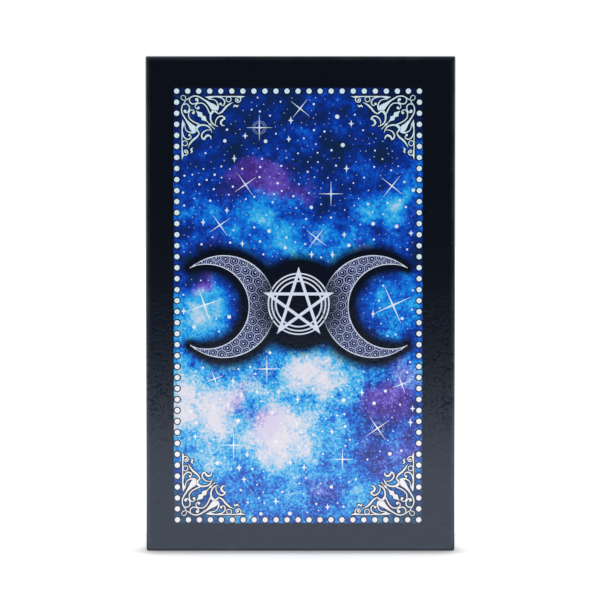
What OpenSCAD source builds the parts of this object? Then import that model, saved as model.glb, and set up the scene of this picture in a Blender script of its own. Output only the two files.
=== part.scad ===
// Boxed tarot deck: a two-piece board box, wrapped in paper, that holds seventy-eight cards
// and a stapled guidebook. The box stands on one short end with its front to -Y.
//
// Every piece is drawn lying on its back, x across, y along the cards and z from the back of
// the box to its front. stand() then sets it upright.

/* [Cards] */
// Width of a card
card_w = 70; // [60:1:90]
// Height of a card
card_h = 120; // [100:1:150]
// Thickness of the card stock
card_t = 0.35; // [0.28:0.01:0.45]
// Radius of a card's corners
card_r = 4; // [2:0.5:8]
// How far the cards lie out of line with each other
card_jog = 0.3; // [0:0.05:0.6]

/* [Guidebook] */
// How much smaller than a card the guidebook is, on each side
book_inset = 1; // [0.5:0.25:3]
// Number of folded sheets in the guidebook
book_sheets = 14; // [6:1:24]
// Thickness of a guidebook sheet
sheet_t = 0.1; // [0.08:0.01:0.14]
// Thickness of the guidebook's cover
cover_t = 0.25; // [0.15:0.05:0.4]
// Diameter of the staple wire
staple_wire = 0.5; // [0.4:0.05:0.7]
// Length of a staple's crown
staple_crown = 12; // [10:1:16]
// Length of each clinched end of a staple
staple_clinch = 4; // [3:0.5:4.5]
// Distance between the middles of the two staples
staple_pitch = 64; // [40:1:76]

/* [Box] */
// Thickness of the grey board
board_t = 2; // [1.4:0.1:3]
// Radius of the board's folded edges
board_edge_r = 0.5; // [0.3:0.05:1]
// Thickness of the wrapping paper
wrap_t = 0.2; // [0.12:0.02:0.3]
// How far the wrap is turned in over the rim
turn_in = 14; // [12:1:20]
// Thickness of the lining paper
liner_t = 0.15; // [0.1:0.01:0.25]
// Bare margin round the lining paper
liner_inset = 1.5; // [0.5:0.25:4]
// Width of a corner stay on each wall
stay_leg = 12; // [8:1:18]
// Thickness of a corner stay
stay_t = 0.12; // [0.08:0.01:0.2]
// Distance from a corner stay to each end of its wall
stay_inset = 3; // [1:0.5:6]
// Radius of the thumb notches in the lid's long walls
thumb_r = 9; // [6:0.5:11]
// Strip of the base that the lid leaves bare at the back
base_reveal = 1.2; // [0.4:0.1:6]

/* [Clearances] */
// Gap between a card and the wall of the base, on each side
card_gap = 1.3; // [0.8:0.1:3]
// Gap between the lower edges of the contents and the base's wall
edge_gap = 0.1; // [0.05:0.05:0.3]
// Free depth in front of the guidebook
stack_play = 0.8; // [0.3:0.1:3]
// Gap between lid and base, on each side
lid_gap = 0.45; // [0.2:0.05:1]
// Gap between the lid's lining and the rim of the base
seat_gap = 0.2; // [0.1:0.05:0.6]
// Air between two cards or sheets that lie on each other
leaf_air = 0.01; // [0.005:0.005:0.03]
// Gap round the wire of a staple
staple_gap = 0.03; // [0.02:0.01:0.06]

/* [Hidden] */
$fn = 64;
cut = 1;                    // how far a cutting tool runs past the face that it opens

majors = 22;
suits = ["wands", "cups", "swords", "pentacles"];
courts = ["king", "queen", "knight", "page"];
pips = 10;
suit_cards = len(courts) + pips;
deck_cards = majors + len(suits) * suit_cards;
card_pitch = card_t + leaf_air;
deck_d = deck_cards * card_pitch;

// The innermost fold is just wide enough for the clinched ends of the staples
fold_r = staple_wire / 2 + 2 * staple_gap;
sheet_pitch = sheet_t + leaf_air;
spine_r = fold_r + book_sheets * sheet_pitch + cover_t;
book_w = card_w - 2 * book_inset;
book_h = card_h - 2 * book_inset;
book_d = 2 * spine_r;

wall_t = board_t + 2 * wrap_t;          // board with paper on both faces
panel_t = wrap_t + board_t + liner_t;   // board with the wrap outside and the lining inside

cavity_w = card_w + 2 * card_gap;
cavity_h = card_h + 2 * card_gap;
base_w = cavity_w + 2 * wall_t;
base_h = cavity_h + 2 * wall_t;
base_d = panel_t + deck_d + leaf_air + book_d + stack_play;

lid_w = base_w + 2 * lid_gap + 2 * wall_t;
lid_h = base_h + 2 * lid_gap + 2 * wall_t;
box_d = base_d + seat_gap + panel_t;
lid_d = box_d - base_reveal;

// The contents stand on the lower wall of the base, which lies towards -y
rest_y = edge_gap - cavity_h / 2;

function major_name(n) = str("major_", n < 10 ? "0" : "", n);
function court_name(suit, rank) = str(suit, "_", rank);
function pips_name(suit) = str(suit, "_pips");

// Sets a lying piece upright, centred over the origin, with the lid's end wall on the ground
module stand() {
    translate([0, box_d / 2, lid_h / 2]) rotate([90, 0, 0]) children();
}

// A block from the height z0 to z1, centred on the z axis
module slab(w, h, z0, z1) {
    translate([-w / 2, -h / 2, z0]) cube([w, h, z1 - z0]);
}

module rounded_rect(w, h, r) {
    square([w - 2 * r, h], center = true);
    square([w, h - 2 * r], center = true);
    for (x = [-1, 1], y = [-1, 1])
        translate([x * (w / 2 - r), y * (h / 2 - r)]) circle(r);
}

// A section of a tray: square at the rim, rounded at the two far corners
module tray_section(w, d, r) {
    translate([-w / 2, 0]) square([w, d - r]);
    translate([r - w / 2, 0]) square([w - 2 * r, d]);
    for (x = [-1, 1])
        translate([x * (w / 2 - r), d - r]) circle(r);
}

// The outside of a tray that opens at z = 0, with every folded edge rounded
module tray_form(w, h, d, r) {
    intersection() {
        linear_extrude(d) rounded_rect(w, h, r);
        rotate([90, 0, 0]) linear_extrude(h, center = true) tray_section(w, d, r);
        rotate([90, 0, 90]) linear_extrude(w, center = true) tray_section(h, d, r);
    }
}

// Half-moon cutter through both long walls at the rim
module thumb_cut(w, r) {
    rotate([0, 90, 0]) cylinder(r = r, h = w + 2 * cut, center = true);
}

// The folded board of a tray, w by h by d outside its wrap, before the corner stays are let in
module tray_blank(w, h, d, notch_r) {
    difference() {
        translate([0, 0, wrap_t])
            tray_form(w - 2 * wrap_t, h - 2 * wrap_t, d - 2 * wrap_t, board_edge_r);
        slab(w - 2 * (wrap_t + board_t), h - 2 * (wrap_t + board_t), -cut, d - wrap_t - board_t);
        if (notch_r > 0) thumb_cut(w, notch_r + wrap_t);
    }
}

// Paper strips that hold the four corners of the board, let in flush with its outside
module tray_stays(w, h, d) {
    outer_w = w - 2 * wrap_t;
    outer_h = h - 2 * wrap_t;
    intersection() {
        translate([0, 0, wrap_t + stay_inset])
            linear_extrude(d - 2 * (wrap_t + stay_inset)) difference() {
                rounded_rect(outer_w, outer_h, board_edge_r);
                rounded_rect(outer_w - 2 * stay_t, outer_h - 2 * stay_t, board_edge_r - stay_t);
            }
        for (x = [-1, 1], y = [-1, 1])
            translate([x * outer_w / 2, y * outer_h / 2, 0]) slab(2 * stay_leg, 2 * stay_leg, 0, d);
    }
}

module tray_board(w, h, d, notch_r = 0) {
    difference() {
        tray_blank(w, h, d, notch_r);
        tray_stays(w, h, d);
    }
}

// One sheet of paper over the outside, folded round the rim and turned in along the walls
module tray_wrap(w, h, d, notch_r = 0) {
    difference() {
        tray_form(w, h, d, board_edge_r + wrap_t);
        slab(w - 2 * wall_t, h - 2 * wall_t, -cut, turn_in);
        slab(w - 2 * (wrap_t + board_t), h - 2 * (wrap_t + board_t), turn_in, d - wrap_t - board_t);
        tray_blank(w, h, d, notch_r);
        if (notch_r > 0) thumb_cut(w, notch_r);
    }
}

module tray_liner(w, h, d) {
    margin = 2 * (wrap_t + board_t + liner_inset);
    slab(w - margin, h - margin, d - panel_t, d - panel_t + liner_t);
}

module place_lid() {
    stand() translate([0, 0, base_reveal]) children();
}

module place_base() {
    stand() translate([0, 0, base_d]) mirror([0, 0, 1]) children();
}

module lid_board() {
    color("tan") place_lid() tray_board(lid_w, lid_h, lid_d, thumb_r);
}

module lid_wrap() {
    color("midnightblue") place_lid() tray_wrap(lid_w, lid_h, lid_d, thumb_r);
}

module lid_liner() {
    color("black") place_lid() tray_liner(lid_w, lid_h, lid_d);
}

module lid_corner_stays() {
    color("burlywood") place_lid() tray_stays(lid_w, lid_h, lid_d);
}

module base_board() {
    color("tan") place_base() tray_board(base_w, base_h, base_d);
}

module base_wrap() {
    color("black") place_base() tray_wrap(base_w, base_h, base_d);
}

module base_liner() {
    color("black") place_base() tray_liner(base_w, base_h, base_d);
}

module base_corner_stays() {
    color("burlywood") place_base() tray_stays(base_w, base_h, base_d);
}

// The guidebook lies in front of the cards with its fold towards -x. Its fold line is the z axis here.
module place_book() {
    stand()
        translate([spine_r - book_w / 2, rest_y + book_h / 2, panel_t + deck_d + leaf_air + spine_r])
            children();
}

// Both staples' places along the fold
module at_staples() {
    for (y = [-1, 1]) translate([0, y * staple_pitch / 2, 0]) children();
}

// Both leg holes of every staple, through the fold alone
module staple_holes() {
    at_staples()
        for (y = [-1, 1])
            translate([-spine_r - cut, y * (staple_crown - staple_wire) / 2, 0])
                rotate([0, 90, 0]) cylinder(d = staple_wire + 2 * staple_gap, h = spine_r + cut);
}

module fold_section(r) {
    circle(r);
    translate([0, -r]) square([book_w - spine_r, 2 * r]);
}

// One sheet folded round the sheets inside it, with an inner radius r at the fold
module folded_sheet(r, t) {
    rotate([90, 0, 0]) linear_extrude(book_h, center = true) difference() {
        fold_section(r + t);
        fold_section(r);
        translate([0, -r]) square([book_w, 2 * r]);
    }
}

module guidebook_cover() {
    color("darkslateblue") place_book() difference() {
        folded_sheet(spine_r - cover_t, cover_t);
        staple_holes();
    }
}

module guidebook_sheets() {
    color("ivory") place_book()
        for (n = [0 : book_sheets - 1]) difference() {
            folded_sheet(fold_r + n * sheet_pitch, sheet_t);
            staple_holes();
        }
}

// A straight run of wire with round ends, from point a to point b
module wire_run(a, b, turn) {
    length = norm(b - a);
    translate((a + b) / 2) rotate(turn) cylinder(d = staple_wire, h = length, center = true);
    for (p = [a, b]) translate(p) sphere(d = staple_wire);
}

// The crown lies on the spine, and the legs pass through the fold and are bent towards each other
module staple() {
    crown_x = -spine_r - staple_gap - staple_wire / 2;
    leg_y = (staple_crown - staple_wire) / 2;
    along_y = [90, 0, 0];
    along_x = [0, 90, 0];
    wire_run([crown_x, -leg_y, 0], [crown_x, leg_y, 0], along_y);
    for (side = [-1, 1]) {
        wire_run([crown_x, side * leg_y, 0], [0, side * leg_y, 0], along_x);
        wire_run([0, side * leg_y, 0], [0, side * (leg_y - staple_clinch), 0], along_y);
    }
}

module guidebook_staples() {
    color("silver") place_book() at_staples() staple();
}

// Card number n of the deck, counted from the front of the box, a little out of line as in a real stack
module card(n) {
    jog_x = card_jog * sin(n * 222.5);
    jog_y = card_jog * (1 + sin(n * 137.5)) / 2;
    stand()
        translate([jog_x, rest_y + card_h / 2 + jog_y, panel_t + deck_d - n * card_pitch - card_t])
            linear_extrude(card_t) rounded_rect(card_w, card_h, card_r);
}

function suit_start(suit) = majors + search([suit], suits)[0] * suit_cards;

module major_card(n) {
    color("lavender") card(n);
}

module court_card(suit, rank) {
    color("lightsteelblue") card(suit_start(suit) + search([rank], courts)[0]);
}

module pip_cards(suit) {
    color("lightblue")
        for (n = [0 : pips - 1]) card(suit_start(suit) + len(courts) + n);
}

lid_board();
lid_wrap();
lid_liner();
lid_corner_stays();
base_board();
base_wrap();
base_liner();
base_corner_stays();
guidebook_cover();
guidebook_sheets();
guidebook_staples();
for (n = [0 : majors - 1])
    major_card(n);
for (suit = suits, rank = courts)
    court_card(suit, rank);
for (suit = suits)
    pip_cards(suit);
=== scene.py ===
"""Dresses the boxed tarot deck: its printed lid, base, lining, cards and guidebook, on a white stage."""

import cmath
import math
import random

import bmesh
import bpy
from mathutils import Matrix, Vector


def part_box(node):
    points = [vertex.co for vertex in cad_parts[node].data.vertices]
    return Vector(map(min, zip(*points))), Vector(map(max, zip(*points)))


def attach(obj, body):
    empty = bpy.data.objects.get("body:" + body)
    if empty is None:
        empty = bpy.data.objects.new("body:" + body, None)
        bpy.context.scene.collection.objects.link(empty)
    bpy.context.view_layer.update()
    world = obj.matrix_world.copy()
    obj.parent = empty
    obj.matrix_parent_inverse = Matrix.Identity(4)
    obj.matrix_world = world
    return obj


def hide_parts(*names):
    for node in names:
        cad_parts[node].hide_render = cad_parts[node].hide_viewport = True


bl_info = {
    "name": "Boxed tarot deck",
    "version": (1, 0, 0),
    "blender": (4, 5, 0),
    "location": "View3D > Sidebar > Tarot",
    "description": "Builds the printed box, the cards and the guidebook round the packed part",
    "category": "Object",
}

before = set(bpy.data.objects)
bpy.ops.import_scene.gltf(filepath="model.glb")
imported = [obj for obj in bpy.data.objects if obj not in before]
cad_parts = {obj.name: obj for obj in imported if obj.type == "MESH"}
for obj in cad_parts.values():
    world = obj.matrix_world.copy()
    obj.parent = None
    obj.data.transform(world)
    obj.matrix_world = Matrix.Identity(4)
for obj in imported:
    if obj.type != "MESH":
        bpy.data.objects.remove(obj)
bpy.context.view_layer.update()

MM = 0.001


def face_of(node):
    """Middle and half size of a node seen from the front, in millimetres, as across + up * 1j."""
    low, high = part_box(node)
    middle = complex(high.x + low.x, high.z + low.z) / 2 / MM
    half = complex(high.x - low.x, high.z - low.z) / 2 / MM
    return middle, half


LID_LOW, LID_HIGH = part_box("lid_wrap")
FRONT = LID_LOW.y
FACE_MIDDLE, FACE_HALF = face_of("lid_wrap")

# Heights of the printed layers over the paper of the lid's front, in millimetres.
SHEET_TOP = 0.02
SHADE_TOP = 0.03
INK_TOP = 0.04
STAR_TOP = 0.05
LAYER_FOOT = 0.012
# Shapes of one layer take a few heights in turn, so that two that cross never share a plane.
LEVELS = 10
LEVEL_STEP = 0.0006


def tone(red, green, blue):
    """The linear colour of a screen colour given from 0 to 255."""
    return tuple(
        (c / 255 / 12.92) if c <= 10 else ((c / 255 + 0.055) / 1.055) ** 2.4 for c in (red, green, blue)
    ) + (1.0,)


def size(name, description, millimetres):
    """A length that a user may change."""
    return bpy.props.FloatProperty(
        name=name, description=description, default=millimetres * MM, unit="LENGTH", precision=5
    )


def count(name, description, number):
    """A whole number that a user may change."""
    return bpy.props.IntProperty(name=name, description=description, default=number, min=1)


def colour(name, description, red, green, blue):
    """A colour that a user may change."""
    return bpy.props.FloatVectorProperty(
        name=name,
        description=description,
        default=tone(red, green, blue),
        subtype="COLOR",
        size=4,
        min=0,
        max=1,
    )


class PrintLayout(bpy.types.PropertyGroup):
    """Sizes and colours of what is printed on the lid's front."""

    edge_round: size("Edge round", "Radius of the wrapped edges, left free round the front sheet", 0.7)
    shift_x: size("Shift across", "How far the print sits off the middle of the front", -0.65)
    shift_z: size("Shift up", "How far the print sits off the middle of the front", -0.49)
    bead_pitch: size("Bead pitch", "Distance between the middles of two beads", 2.955)
    beads_across: count("Beads across", "Beads along the top edge", 23)
    beads_up: count("Beads up", "Beads along a side edge", 40)
    bead_radius: size("Bead radius", "Radius of a bead of the border", 0.7)
    bead_rim: size("Bead rim", "Width of the dark rim round a bead", 0.3)
    print_margin: size("Print margin", "Print outside the middles of the beads", 0.89)
    scroll_inset: size("Scroll inset", "Distance from the middles of the beads to the corner scrolls", 1.07)
    emblem_x: size("Emblem across", "How far the pentacle sits off the middle of the print", 0.16)
    emblem_z: size("Emblem up", "How far the pentacle sits off the middle of the print", 0.6)
    moon_reach: size("Moon reach", "From the pentacle's middle to a moon's middle", 20.1)
    moon_radius: size("Moon radius", "Radius of a moon's outer edge", 13.81)
    moon_bite: size("Moon bite", "Radius of the circle cut from a moon", 11.3)
    moon_bite_shift: size("Moon bite shift", "How far the cut circle sits from the moon's middle", 4.6)
    moon_drop: size("Moon drop", "How far the moons sit under the pentacle's middle", 0.72)
    line: size("Line", "Width of a moon's outline", 0.25)
    star_radius: size("Star radius", "From the pentacle's middle to a tip", 9.97)
    star_band: size("Star band", "Width of the pentacle's bands", 0.8)
    film: colour("Film", "Black of the laminated border", 12, 18, 29)
    ink: colour("Silver ink", "Pale ink of the beads and scrolls", 217, 243, 254)
    emblem_ink: colour("Emblem ink", "Bluer ink of the moons and the pentacle", 227, 237, 255)
    lace: colour("Lace ink", "Ink of the lace in the moons", 202, 215, 255)
    rim: colour("Rim ink", "Dark ink round the beads and scrolls", 14, 20, 40)
    glow: colour("Dark glow", "Dark ground round the emblem", 6, 15, 32)
    moon_ground: colour("Moon ground", "Deep blue behind the lace in the moons", 12, 22, 74)


class BoxLooks(bpy.types.PropertyGroup):
    """Colours of the box's plain papers and boards."""

    base_paper: colour("Base paper", "Black paper of the base", 18, 19, 22)
    lining: colour("Lining", "Black lining paper", 24, 24, 27)
    board: colour("Grey board", "Recycled board under the paper", 142, 138, 130)
    stay: colour("Corner stay", "Brown paper tape in the corners", 150, 112, 72)


class DeckLooks(bpy.types.PropertyGroup):
    """Colours of the cards and of the guidebook."""

    stock: colour("Card stock", "White core and border of a card", 236, 233, 224)
    back: colour("Card back", "Ground of a card's back", 16, 28, 78)
    silver: colour("Card silver", "Lines on a card's back", 176, 190, 220)
    dawn: colour("Card dawn", "Light end of the painted sky on a card's face", 244, 218, 158)
    gold: colour("Card gold", "Inner frame line and corners of a card's face", 206, 160, 74)
    line: colour("Card line", "Dark drawing lines on a card's face", 28, 24, 34)
    cover: colour("Cover", "Ground of the guidebook's cover", 20, 26, 66)
    paper: colour("Book paper", "Sheets of the guidebook", 232, 226, 208)
    wire: colour("Staple wire", "Steel of the staples", 178, 180, 184)


class Wire:
    """An output socket of a node. Arithmetic on wires adds Math nodes."""

    def __init__(self, paint, socket):
        self.paint = paint
        self.socket = socket

    def math(self, operation, *values):
        return self.paint.node("ShaderNodeMath", {"operation": operation}, dict(enumerate(values)))

    def __add__(self, other):
        return self.math("ADD", self, other)

    def __sub__(self, other):
        return self.math("SUBTRACT", self, other)

    def __rsub__(self, other):
        return self.math("SUBTRACT", other, self)

    def __mul__(self, other):
        return self.math("MULTIPLY", self, other)

    def __truediv__(self, other):
        return self.math("DIVIDE", self, other)

    def __pow__(self, other):
        return self.math("POWER", self, other)

    def __abs__(self):
        return self.math("ABSOLUTE", self)

    __radd__ = __add__
    __rmul__ = __mul__

    def least(self, other):
        return self.math("MINIMUM", self, other)

    def most(self, other):
        return self.math("MAXIMUM", self, other)

    def fade(self, low, high):
        """0 at low and 1 at high, smooth between them."""
        settings = {"interpolation_type": "SMOOTHSTEP"}
        return self.paint.node("ShaderNodeMapRange", settings, {0: self, 1: low, 2: high})

    def below(self, edge, soft):
        """1 under the edge and 0 over it."""
        return self.fade(edge + soft, edge - soft)

    def line(self, at, half, soft=0.08):
        """1 on a drawn line of that half width, where the value is at."""
        return abs(self - at).below(half, soft)

    def wave(self, length):
        """Distance to the nearest whole multiple of length."""
        return self.math("PINGPONG", self, length / 2)

    def twin(self, name):
        """Another output of the same node."""
        return Wire(self.paint, self.socket.node.outputs[name])


class Paint:
    """The nodes of one material, worked on in millimetres."""

    def __init__(self, tree):
        self.tree = tree

    def node(self, kind, settings=None, sockets=None, out=0):
        """A node of that type: its settings are set first, then its sockets are filled or linked."""
        made = self.tree.nodes.new(kind)
        for key, value in (settings or {}).items():
            if key == "stops":
                ramp = made.color_ramp
                while len(ramp.elements) < len(value):
                    ramp.elements.new(0.5)
                for element, (place, shade) in zip(ramp.elements, value):
                    element.position = place
                    element.color = shade
            else:
                setattr(made, key, value)
        for key, value in (sockets or {}).items():
            if isinstance(value, Wire):
                self.tree.links.new(value.socket, made.inputs[key])
            else:
                made.inputs[key].default_value = value
        return Wire(self, made.outputs[out])

    def place(self):
        """Where the surface is, in millimetres in the part's own frame."""
        here = self.node("ShaderNodeTexCoord", out="Object")
        return self.node("ShaderNodeVectorMath", {"operation": "SCALE"}, {0: here, "Scale": 1 / MM})

    def split(self, vector):
        x = self.node("ShaderNodeSeparateXYZ", {}, {0: vector})
        return x, x.twin("Y"), x.twin("Z")

    def join(self, x, y, z):
        return self.node("ShaderNodeCombineXYZ", {}, {0: x, 1: y, 2: z})

    def noise(self, vector, scale, detail, roughness, seed, out=0):
        """Noise with features of about 1/scale millimetres."""
        sockets = {"Vector": vector, "W": seed, "Scale": scale, "Detail": detail, "Roughness": roughness}
        return self.node("ShaderNodeTexNoise", {"noise_dimensions": "4D"}, sockets, out)

    def cells(self, vector, scale, feature="F1"):
        """Distance to the nearest of spots strewn about 1/scale millimetres apart, or other features."""
        return self.node("ShaderNodeTexVoronoi", {"feature": feature}, {"Vector": vector, "Scale": scale})

    def mix(self, factor, first, second):
        """The first colour where the factor is 0, the second where it is 1."""
        return self.node("ShaderNodeMix", {"data_type": "RGBA"}, {0: factor, 6: first, 7: second}, 2)

    def reach(self, x, z):
        """Length of the vector with these two parts."""
        return (x * x + z * z) ** 0.5

    def petals(self, x, z, number):
        """1 along each of a number of rays round the middle, and -1 halfway between them."""
        angle = x.math("ARCTAN2", x, z)
        return angle.math("COSINE", angle * number)

    def flat(self, here, middle):
        """How far the surface lies across and up from a middle, seen from the front."""
        x, _, z = self.split(here)
        return x - middle.real, z - middle.imag


def new_paint(name):
    """A new material and the nodes to paint it with."""
    material = bpy.data.materials.new(name)
    material.use_nodes = True
    return material, Paint(material.node_tree)


def surface(paint, shade, roughness, height=None, gloss=None, **constants):
    """Feeds the material's shader. Height is in millimetres, gloss is how much varnish lies on top."""
    shader = paint.tree.nodes["Principled BSDF"]
    feeds = {"Base Color": shade, "Roughness": roughness}
    if height is not None:
        bump = {"Height": height, "Distance": MM, "Strength": 1.0}
        feeds["Normal"] = paint.node("ShaderNodeBump", {}, bump)
    if gloss is not None:
        feeds["Coat Weight"] = gloss
    for key, value in feeds.items():
        if isinstance(value, Wire):
            paint.tree.links.new(value.socket, shader.inputs[key])
        else:
            shader.inputs[key].default_value = value
    for key, value in constants.items():
        socket = key.replace("_", " ").title().replace("Ior", "IOR")
        shader.inputs[socket].default_value = value


FILM_ROUGH = 0.15
FILM = {"ior": 1.5, "specular_tint": (0.4, 0.58, 0.86, 1.0), "coat_ior": 1.5, "coat_roughness": FILM_ROUGH}
# The film's relief in millimetres: its orange peel, and short curled strokes pressed into its lower part.
PEEL_DEPTH = 0.006
STROKE_DEPTH = 0.018
STROKE_SCALE = 0.5
STROKE_CURL = (6, 6, 6)
# Heights over the floor, in millimetres, between which the strokes set in and then dull the varnish.
STROKES_FROM, STROKES_FULL = 80.0, 58.0
DULL_FROM, DULL_FULL = 27.0, 42.0
DULLING = 0.9


def film_finish(paint, here):
    """The film's height, and how much varnish it has."""
    curl = {0: paint.noise(here, 0.3, 2, 0.5, 9, out=1), 1: STROKE_CURL, 2: here}
    curled = paint.node("ShaderNodeVectorMath", {"operation": "MULTIPLY_ADD"}, curl)
    lines = paint.cells(curled, STROKE_SCALE, "DISTANCE_TO_EDGE").below(0.08, 0.05)
    breaks = paint.noise(here, 0.7, 1, 0.5, 27).fade(0.43, 0.5)
    patches = paint.noise(here, 0.1, 2, 0.5, 15).fade(0.2, 0.38)
    _, y, z = paint.split(here)
    zone = y.fade(FRONT / MM + 1.0, FRONT / MM + 0.4) * z.fade(STROKES_FROM, STROKES_FULL)
    strokes = lines * breaks * patches * zone
    peel = paint.noise(here, 0.45, 2, 0.5, 4) * PEEL_DEPTH
    return peel - strokes * STROKE_DEPTH, 1 - strokes * z.fade(DULL_FROM, DULL_FULL) * DULLING


def painted_edge_highlight(paint, here, shade, lowest, highest):
    """A shade with a painted highlight: paler, in patches, along the edges of a box with these corners."""
    sides = []
    for value, low, high in zip(paint.split(here), lowest, highest):
        sides.append((high - low) / 2 / MM - abs(value - (high + low) / 2 / MM))
    edge = (sides[0] + sides[1]).least(sides[0] + sides[2]).least(sides[1] + sides[2])
    patchy = paint.noise(here, 0.12, 5, 0.65, 31).fade(0.3, 0.7) * 0.7 + 0.3
    # Painted highlight: the edges are mixed towards pale grey, as if they caught the light.
    return paint.mix(edge.fade(1.7, 0.1) ** 1.4 * patchy * 0.22, shade, tone(112, 117, 126))


def film_shade(paint, here, black):
    """The film's black with sparse pale dust, and a painted highlight along the lid's edges."""
    chosen = paint.noise(here, 0.3, 1, 0.5, 21).fade(0.6, 0.66)
    dust = paint.cells(here, 0.55).below(0.05, 0.02) * chosen
    shade = paint.mix(dust * 0.5, black, tone(120, 125, 135))
    # The pale edges added here are a painted highlight.
    return painted_edge_highlight(paint, here, shade, LID_LOW, LID_HIGH)


def ink_paint(name, shade, faded=None, pale=False):
    """Printed ink under the film, with the mottle of a dot screen. With pale set, a painted highlight makes
    the ink whiter downwards.
    """
    material, paint = new_paint(name)
    here = paint.place()
    mottle = paint.noise(here, 2.2, 3, 0.6, 5).fade(0.25, 0.75)
    deep = tuple(c * 0.9 for c in shade[:3]) + (1.0,)
    tint = paint.mix(mottle, deep, shade)
    if pale:
        # Painted highlight: the ink is mixed towards white lower down, as if lit from the white floor.
        tint = paint.mix(paint.split(here)[2].fade(95.0, 10.0), tint, tone(255, 253, 254))
    if faded is not None:
        tint = faded(paint, here, tint)
    surface(paint, tint, FILM_ROUGH, None, 1.0, **FILM)
    return material


def turns(sides):
    """Directions evenly spaced round a circle."""
    return [cmath.rect(1, math.tau * i / sides) for i in range(sides)]


class Inlay:
    """Flat shapes on the front, in millimetres as complex numbers: across is real and up is imaginary."""

    def __init__(self):
        self.points = []
        self.levels = []
        self.faces = []
        self.shapes = 0

    def add(self, points, faces):
        """One shape: its points, and faces that number them."""
        start = len(self.points)
        self.points += points
        self.levels += [self.shapes % LEVELS] * len(points)
        self.faces += [[start + i for i in face] for face in faces]
        self.shapes += 1

    def outline(self, points):
        self.add(list(points), [range(len(points))])

    def disc(self, middle, radius, sides=20):
        self.outline([middle + turn * radius for turn in turns(sides)])

    def ring(self, middle, inner, outer, sides):
        self.band([(middle + turn * inner, middle + turn * outer) for turn in turns(sides)])

    def band(self, pairs, keep=None):
        """A closed band through pairs of inner and outer points, where keep holds for them."""
        points = [point for pair in pairs for point in pair]
        faces = []
        for a in range(0, len(points), 2):
            b = (a + 2) % len(points)
            face = (a, a + 1, b + 1, b)
            if keep is None or all(keep(points[k]) for k in face):
                faces.append(face)
        self.add(points, faces)

    def stroke(self, points, widths, steps=8, grow=0.0):
        """A smooth line through the points, with widths spread evenly along it."""
        line = smooth_line(points, steps)
        last = len(line) - 1
        edges = []
        for i, point in enumerate(line):
            ahead = line[min(i + 1, last)] - line[max(i - 1, 0)]
            half = 1j * ahead / abs(ahead) * (spread(widths, i / last) + grow) / 2
            edges += [point + half, point - half]
        self.add(edges, [(2 * i + 1, 2 * i + 3, 2 * i + 2, 2 * i) for i in range(last)])

    def copy(self, other, move):
        """All shapes of another inlay, each point moved."""
        start = len(self.points)
        self.points += [move(p) for p in other.points]
        self.levels += other.levels
        self.faces += [[start + i for i in face] for face in other.faces]

    def mesh(self, name, low, high):
        """A closed thin solid between two heights over the front."""
        used = sorted({i for face in self.faces for i in face})
        number = {old: new for new, old in enumerate(used)}
        total = len(used)
        flat = [self.points[i] for i in used]
        tops = [FRONT - (high + self.levels[i] * LEVEL_STEP) * MM for i in used]
        corners = [(p.real * MM, y, p.imag * MM) for p, y in zip(flat, tops)]
        corners += [(p.real * MM, FRONT - low * MM, p.imag * MM) for p in flat]
        faces = []
        sides = set()
        for face in self.faces:
            loop = [number[i] for i in face]
            turned = sum((flat[a].conjugate() * flat[b]).imag for a, b in zip(loop, loop[1:] + loop[:1]))
            if turned < 0:
                loop.reverse()
            faces.append(loop)
            faces.append([total + i for i in reversed(loop)])
            sides.update(zip(loop, loop[1:] + loop[:1]))
        for a, b in sorted(sides):
            if (b, a) not in sides:
                faces.append([b, a, total + a, total + b])
        mesh = bpy.data.meshes.new(name)
        mesh.from_pydata(corners, [], faces)
        mesh.update()
        return mesh

    def lay(self, name, top, ink, foot=LAYER_FOOT):
        """Prints the shapes on the lid's front, between two heights over it."""
        fit(name, self.mesh(name, foot, top), ink, "lid", "printed_wrap")


def spread(values, place):
    """The value at a place from 0 to 1 along evenly spaced ones."""
    step = place * (len(values) - 1)
    i = min(int(step), len(values) - 2)
    return values[i] + (values[i + 1] - values[i]) * (step - i)


def smooth_line(points, steps):
    """Points along a smooth curve that passes through the given ones."""
    ends = [2 * points[0] - points[1]] + list(points) + [2 * points[-1] - points[-2]]
    line = []
    for a, b, c, d in zip(ends, ends[1:], ends[2:], ends[3:]):
        square = a - 2.5 * b + 2 * c - d / 2
        cube = 1.5 * (b - c) + (d - a) / 2
        for i in range(steps):
            t = i / steps
            line.append(b + (c - a) * t / 2 + square * t * t + cube * t ** 3)
    return line + [points[-1]]


def fit(name, mesh, material, body, slot, *nodes):
    """Puts a piece in the scene, on its body, with its finish."""
    piece = bpy.data.objects.new(name, mesh)
    bpy.context.scene.collection.objects.link(piece)
    mesh.materials.clear()
    mesh.materials.append(material)
    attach(piece, body)
    if nodes:
        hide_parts(*nodes)
    return piece


def dress(node, material):
    """Gives a CAD node its material."""
    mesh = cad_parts[node].data
    mesh.materials.clear()
    mesh.materials.append(material)


# Distance in metres under which points are welded, and the angle from which an edge stays sharp.
WELD = 1e-6
FOLD_ANGLE = math.radians(35)


def fold_paper(name, node, material, body, slot):
    """Puts a wrap's own mesh in the scene, welded, with its folded edges shaded round."""
    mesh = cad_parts[node].data.copy()
    mesh.name = name
    work = bmesh.new()
    work.from_mesh(mesh)
    bmesh.ops.remove_doubles(work, verts=work.verts, dist=WELD)
    work.to_mesh(mesh)
    work.free()
    mesh.shade_smooth()
    mesh.set_sharp_from_angle(angle=FOLD_ANGLE)
    piece = fit(name, mesh, material, body, slot, node)
    piece.modifiers.new("fold shading", "WEIGHTED_NORMAL").keep_sharp = True


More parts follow.
